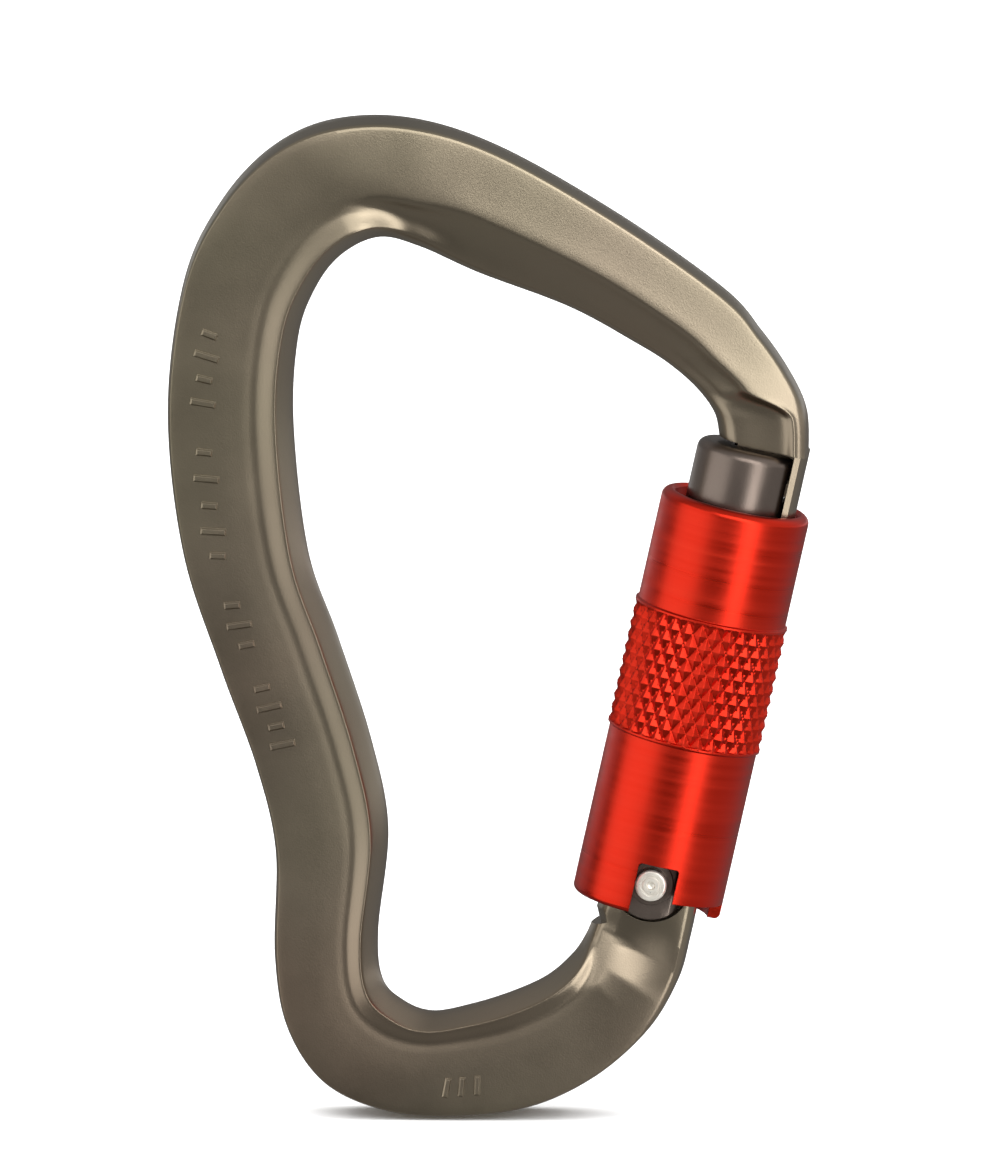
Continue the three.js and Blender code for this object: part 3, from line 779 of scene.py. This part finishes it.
def coil(name, spring, x=0.0):
    """A compression spring whose end turns lie nearly closed."""
    radius, wire, foot, top, turns = spring
    closed = CLOSED_TURNS / turns
    count = turns * COIL_STEPS
    rings = []
    for k in range(count + 1):
        part = k / count
        live = smoothstep((part - closed) / (1 - 2 * closed))
        rise = foot + (top - foot) * (EVEN_RISE * part + (1 - EVEN_RISE) * live)
        angle = FULL_TURN * turns * part
        outward = Vector((math.cos(angle), math.sin(angle), 0))
        centre = outward * radius + Vector((x, 0, rise))
        ring = []
        for side in range(WIRE_SIDES):
            around = FULL_TURN * side / WIRE_SIDES
            ring.append(centre + wire * (outward * math.cos(around) + Vector((0, 0, math.sin(around)))))
        rings.append(ring)
    obj = placed(new_object(name, capped(rings)))
    obj.data.materials.append(steel_material(name + "_steel", (0.42, 0.42, 0.41), rough=0.28))
    return obj


def make_springs():
    """Both springs, each hung on the body it rides on."""
    sleeve_spring = coil("sleeve_return_spring", SLEEVE_SPRING)
    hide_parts("sleeve_spring")
    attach(sleeve_spring, "spring_carrier")
    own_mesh(sleeve_spring)
    gate_spring = coil("gate_return_spring", GATE_SPRING, BORE_X)
    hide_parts("gate_spring")
    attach(gate_spring, "gate_arm")
    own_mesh(gate_spring)


def dress_kept_nodes():
    steel = steel_material("small_part_steel", (0.5, 0.49, 0.46), rough=0.3)
    finishes = {
        "gate_plunger": steel,
        "retaining_ring": steel,
        "thrust_washer": steel,
        "sleeve_bush": acetal_material(),
    }
    for name, material in finishes.items():
        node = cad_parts[name]
        node.data.materials.clear()
        node.data.materials.append(material)


# ---------------------------------------------------------------- materials

NOISE_LOW, NOISE_HIGH = 0.3, 0.7
BEVEL_SAMPLES = 6
STEEL_DARK, STEEL_SMOOTH, STEEL_ROUGH = 0.78, 0.85, 1.3


def fill_ramp(ramp, stops):
    """Sets a colour ramp's stops, each [position, colour]."""
    while len(ramp.elements) < len(stops):
        ramp.elements.new(0.5)
    for element, (position, colour) in zip(ramp.elements, stops):
        element.position = position
        element.color = (*colour, 1)


class Shader:
    """A Principled material with helpers to grow its node tree."""

    def __init__(self, name):
        self.material = bpy.data.materials.new(name)
        self.material.use_nodes = True
        self.nodes = self.material.node_tree.nodes
        self.links = self.material.node_tree.links
        self.principled = self.nodes["Principled BSDF"]
        self.place = self.nodes.new("ShaderNodeTexCoord").outputs["Object"]

    def link(self, output, target):
        self.links.new(output, target)

    def noise(self, scale, detail, stretch=None):
        node = self.nodes.new("ShaderNodeTexNoise")
        node.inputs["Scale"].default_value = scale
        node.inputs["Detail"].default_value = detail
        place = self.place
        if stretch:
            mapping = self.nodes.new("ShaderNodeMapping")
            mapping.inputs["Scale"].default_value = stretch
            self.link(place, mapping.inputs["Vector"])
            place = mapping.outputs["Vector"]
        self.link(place, node.inputs["Vector"])
        return node.outputs["Fac"]

    def ramp(self, value, stops):
        """A ramp through [position, colour] stops."""
        node = self.nodes.new("ShaderNodeValToRGB")
        fill_ramp(node.color_ramp, stops)
        self.link(value, node.inputs["Fac"])
        return node.outputs["Color"]

    def spread(self, value, low, high):
        """A noise's usual values, stretched to run from low to high."""
        node = self.nodes.new("ShaderNodeMapRange")
        node.inputs["From Min"].default_value = NOISE_LOW
        node.inputs["From Max"].default_value = NOISE_HIGH
        node.inputs["To Min"].default_value = low
        node.inputs["To Max"].default_value = high
        self.link(value, node.inputs["Value"])
        return node.outputs["Result"]

    def relief(self, value, depth, edge_radius):
        """Fine relief over edges that are worn slightly round. depth and edge_radius are in metres."""
        bevel = self.nodes.new("ShaderNodeBevel")
        bevel.samples = BEVEL_SAMPLES
        bevel.inputs["Radius"].default_value = edge_radius
        bump = self.nodes.new("ShaderNodeBump")
        bump.inputs["Distance"].default_value = depth
        self.link(value, bump.inputs["Height"])
        self.link(bevel.outputs["Normal"], bump.inputs["Normal"])
        self.link(bump.outputs["Normal"], self.principled.inputs["Normal"])

    def set(self, **values):
        for name, value in values.items():
            self.principled.inputs[name.replace("_", " ")].default_value = value

    def colour(self, output):
        self.link(output, self.principled.inputs["Base Color"])

    def roughness(self, output):
        self.link(output, self.principled.inputs["Roughness"])


def anodised(name, stops, rough, edge_radius):
    """Satin anodised alloy: soft colour drift, slight roughness drift and a fine blasted grain."""
    shader = Shader(name)
    shader.set(Metallic=1.0)
    shader.colour(shader.ramp(shader.noise(scale=20, detail=2), stops))
    shader.roughness(shader.spread(shader.noise(scale=90, detail=4), *rough))
    shader.relief(shader.noise(scale=5200, detail=2), depth=0.000012, edge_radius=edge_radius)
    return shader.material


def body_material():
    stops = [(0.3, (0.27, 0.195, 0.142)), (0.5, (0.252, 0.208, 0.152)), (0.7, (0.245, 0.215, 0.148))]
    return anodised("body_anodised", stops, rough=(0.29, 0.35), edge_radius=0.00004)


def gate_material():
    stops = [(0.3, (0.135, 0.106, 0.09)), (0.6, (0.165, 0.133, 0.112))]
    return anodised("gate_anodised", stops, rough=(0.26, 0.36), edge_radius=0.00015)


def sleeve_material():
    """Red anodised alloy with fine turning lines round it."""
    shader = Shader("sleeve_anodised")
    shader.set(Metallic=1.0, Anisotropic=0.45)
    lines = shader.noise(scale=900, detail=4, stretch=(0.02, 0.02, 1))
    stops = [(0.32, (0.49, 0.019, 0.008)), (0.55, (0.54, 0.024, 0.011)), (0.75, (0.58, 0.029, 0.013))]
    shader.colour(shader.ramp(lines, stops))
    shader.roughness(shader.spread(lines, 0.26, 0.38))
    shader.relief(lines, depth=0.00002, edge_radius=0.00012)
    tangent = shader.nodes.new("ShaderNodeTangent")
    tangent.direction_type = "RADIAL"
    tangent.axis = "Z"
    shader.link(tangent.outputs["Tangent"], shader.principled.inputs["Tangent"])
    return shader.material


def steel_material(name, colour, rough, metallic=1.0):
    shader = Shader(name)
    shader.set(Metallic=metallic)
    dark = tuple(c * STEEL_DARK for c in colour)
    shader.colour(shader.ramp(shader.noise(scale=420, detail=4), [(0.3, dark), (0.65, colour)]))
    grain = shader.noise(scale=900, detail=4)
    shader.roughness(shader.spread(grain, rough * STEEL_SMOOTH, rough * STEEL_ROUGH))
    shader.relief(shader.noise(scale=3000, detail=3), depth=0.000008, edge_radius=0.00008)
    return shader.material


def acetal_material():
    shader = Shader("bush_acetal")
    shader.set(IOR=1.48, Specular_IOR_Level=0.4)
    stops = [(0.35, (0.012, 0.012, 0.013)), (0.7, (0.025, 0.025, 0.027))]
    shader.colour(shader.ramp(shader.noise(scale=300, detail=3), stops))
    shader.roughness(shader.spread(shader.noise(scale=700, detail=3), 0.45, 0.62))
    shader.relief(shader.noise(scale=2600, detail=3), depth=0.00001, edge_radius=0.0001)
    return shader.material


# ---------------------------------------------------------------- floor, light and camera

# Camera: the point it looks at, its direction and distance, and the height of the view there, in metres.
PHOTO_CENTRE = Vector((1.18, 0, 62.8)) * MM
PHOTO_AZIMUTH, PHOTO_ELEVATION = math.radians(1.5), math.radians(9.5)
PHOTO_DISTANCE, PHOTO_HEIGHT = 3.0, 0.1381
SENSOR = 36

# Floor: side, cells along a side and how far it lies below the object, in metres, and its pale greys.
FLOOR_SIZE, FLOOR_CELLS, FLOOR_DROP = 14.0, 8, 0.0002
FLOOR_GREYS = [(0.3, (0.87, 0.87, 0.87)), (0.7, (0.9, 0.9, 0.9))]

# Softboxes: name, azimuth, elevation, distance, width, height, radiance, and whether reflections show it.
SOFTBOXES = [
    ("overhead_softbox", 180, 89, 3.4, 7.0, 7.0, 2.6, False),
    ("left_softbox", -62, 2, 0.7, 0.88, 0.9, 1.25, True),
    ("right_strip", 30, 5, 0.9, 0.36, 1.0, 4, True),
    ("front_softbox", 4, 29, 0.9, 0.6, 0.48, 2.9, True),
]

# The room's greys as [place from 0 to 1, grey], from left to right and from straight down to straight up,
# which are multiplied, and a band at the horizon, which is added.
ROOM_ACROSS = [(0, 0.5), (0.3, 0.3), (0.5, 0.22), (0.75, 0.42), (1, 1)]
ROOM_UPWARD = [(0, 0.62), (0.2, 0.32), (0.4, 0.22), (0.55, 0.32), (0.75, 0.5), (1, 1)]
ROOM_HORIZON = [(0, 0), (0.472, 0), (0.478, 0.46), (0.502, 0.46), (0.508, 0), (1, 0)]
ROOM_STRENGTH = 2.25


def direction(azimuth, elevation):
    """A unit vector from the object. Azimuth 0 is to the front and 90 to the right."""
    level = math.cos(elevation)
    return Vector((math.sin(azimuth) * level, -math.cos(azimuth) * level, math.sin(elevation)))


def make_floor():
    bm = bmesh.new()
    bmesh.ops.create_grid(bm, x_segments=FLOOR_CELLS, y_segments=FLOOR_CELLS, size=FLOOR_SIZE / 2)
    mesh = bpy.data.meshes.new("floor")
    bm.to_mesh(mesh)
    bm.free()
    floor = bpy.data.objects.new("floor", mesh)
    bpy.context.scene.collection.objects.link(floor)
    floor.location.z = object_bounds()[0].z - FLOOR_DROP
    shader = Shader("floor_paper")
    shader.set(Specular_IOR_Level=0.1)
    shader.colour(shader.ramp(shader.noise(scale=3, detail=2), FLOOR_GREYS))
    shader.roughness(shader.spread(shader.noise(scale=5, detail=2), 0.85, 0.95))
    mesh.materials.append(shader.material)
    floor.visible_glossy = False
    floor.visible_shadow = False


def softbox(name, azimuth, elevation, distance, width, height, radiance, glossy):
    """A soft light facing the object. The camera doesn't see it."""
    light = bpy.data.lights.new(name, "AREA")
    light.shape = "RECTANGLE"
    light.size, light.size_y = width, height
    light.energy = radiance * math.pi * width * height
    obj = bpy.data.objects.new(name, light)
    bpy.context.scene.collection.objects.link(obj)
    away = direction(math.radians(azimuth), math.radians(elevation))
    obj.location = PHOTO_CENTRE + away * distance
    obj.rotation_mode = "QUATERNION"
    obj.rotation_quaternion = (-away).to_track_quat("-Z", "Y")
    obj.visible_camera = False
    obj.visible_glossy = glossy


def room_greys(tree, axis, stops):
    """Greys of the room along one axis, X or Z, of a direction in it."""
    place = tree.nodes.new("ShaderNodeTexCoord")
    split = tree.nodes.new("ShaderNodeSeparateXYZ")
    spread = tree.nodes.new("ShaderNodeMapRange")
    spread.inputs["From Min"].default_value = -1
    ramp = tree.nodes.new("ShaderNodeValToRGB")
    fill_ramp(ramp.color_ramp, [(position, (grey, grey, grey)) for position, grey in stops])
    tree.links.new(place.outputs["Generated"], split.inputs["Vector"])
    tree.links.new(split.outputs[axis], spread.inputs["Value"])
    tree.links.new(spread.outputs["Result"], ramp.inputs["Fac"])
    return ramp.outputs["Color"]


def mixed_colours(tree, operation, first, second):
    node = tree.nodes.new("ShaderNodeVectorMath")
    node.operation = operation
    tree.links.new(first, node.inputs[0])
    tree.links.new(second, node.inputs[1])
    return node.outputs["Vector"]


def make_world():
    """A dim room: brightest to the right and overhead, and darkest in front and behind."""
    world = bpy.data.worlds.new("studio")
    bpy.context.scene.world = world
    world.use_nodes = True
    tree = world.node_tree
    across = room_greys(tree, "X", ROOM_ACROSS)
    upward = room_greys(tree, "Z", ROOM_UPWARD)
    room = mixed_colours(tree, "MULTIPLY", across, upward)
    total = mixed_colours(tree, "ADD", room, room_greys(tree, "Z", ROOM_HORIZON))
    background = tree.nodes["Background"]
    tree.links.new(total, background.inputs["Color"])
    background.inputs["Strength"].default_value = ROOM_STRENGTH


def make_light():
    make_world()
    for row in SOFTBOXES:
        softbox(*row)


def make_camera():
    camera = bpy.data.objects.new("camera", bpy.data.cameras.new("camera"))
    bpy.context.scene.collection.objects.link(camera)
    camera.data.sensor_width = SENSOR
    camera.data.lens = SENSOR * PHOTO_DISTANCE / PHOTO_HEIGHT
    away = direction(PHOTO_AZIMUTH, PHOTO_ELEVATION)
    camera.location = PHOTO_CENTRE + away * PHOTO_DISTANCE
    camera.rotation_mode = "QUATERNION"
    camera.rotation_quaternion = (-away).to_track_quat("-Z", "Y")
    bpy.context.scene.camera = camera
    bpy.context.scene.view_settings.view_transform = "Standard"


make_body()
make_gate()
make_sleeve()
make_rivet()
make_springs()
dress_kept_nodes()
make_floor()
make_light()
make_camera()
